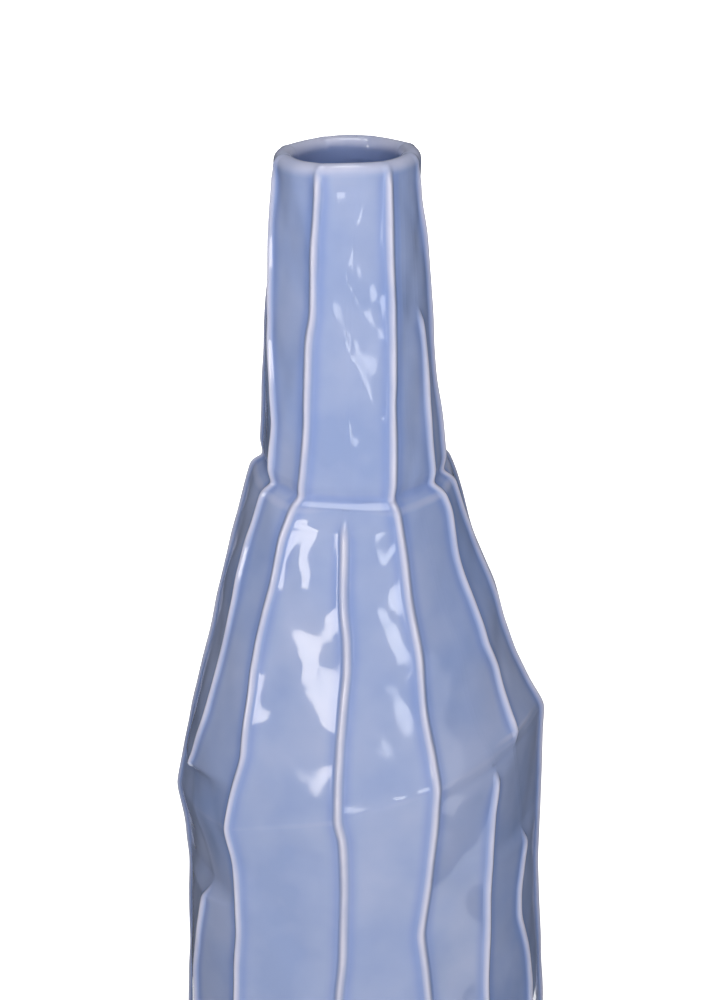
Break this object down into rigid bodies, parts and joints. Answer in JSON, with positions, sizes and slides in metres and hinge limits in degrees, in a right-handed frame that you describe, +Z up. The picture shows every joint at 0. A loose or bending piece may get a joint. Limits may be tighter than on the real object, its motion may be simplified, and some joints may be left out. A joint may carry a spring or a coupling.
{
  "type": "ceramic bud vase",
  "caption": "Tall hand-built bottle vase with a narrow neck, sloping shoulder and full body, raised vertical ribs, a rolled lip and a foot ring.",
  "frame": {"origin": "on the ground, at the middle of the foot ring", "axes": "+Z up through the mouth, -Y towards the front, +X to the front view's right"},
  "size_m": [0.0933, 0.0923, 0.2903],
  "materials": {
    "wall_glaze": "glossy periwinkle blue glaze, darker where it pools",
    "rib_glaze": "glossy glaze, thin and pale where it breaks over the ribs",
    "bare_clay": "matt unglazed clay where the vase stands"
  },
  "bodies": {
    "root": {"lip_ring": "wall_glaze", "neck_wall": "wall_glaze", "shoulder_wall": "wall_glaze", "body_wall": "wall_glaze", "floor_slab": "wall_glaze", "foot_ring": "bare_clay", "body_rib_01": "rib_glaze", "body_rib_02": "rib_glaze", "body_rib_03": "rib_glaze", "body_rib_04": "rib_glaze", "body_rib_05": "rib_glaze", "body_rib_06": "rib_glaze", "body_rib_07": "rib_glaze", "body_rib_08": "rib_glaze", "body_rib_09": "rib_glaze", "body_rib_10": "rib_glaze", "body_rib_11": "rib_glaze", "body_rib_12": "rib_glaze", "body_rib_13": "rib_glaze", "shoulder_rib_01": "rib_glaze", "shoulder_rib_02": "rib_glaze", "shoulder_rib_03": "rib_glaze", "shoulder_rib_04": "rib_glaze", "shoulder_rib_05": "rib_glaze", "shoulder_rib_06": "rib_glaze", "shoulder_rib_07": "rib_glaze", "shoulder_rib_08": "rib_glaze", "shoulder_rib_09": "rib_glaze", "shoulder_rib_10": "rib_glaze", "shoulder_rib_11": "rib_glaze", "shoulder_rib_12": "rib_glaze", "neck_rib_01": "rib_glaze", "neck_rib_02": "rib_glaze", "neck_rib_03": "rib_glaze", "neck_rib_04": "rib_glaze", "neck_rib_05": "rib_glaze", "neck_rib_06": "rib_glaze", "neck_rib_07": "rib_glaze", "neck_rib_08": "rib_glaze", "neck_rib_09": "rib_glaze"}
  },
  "joints": []
}
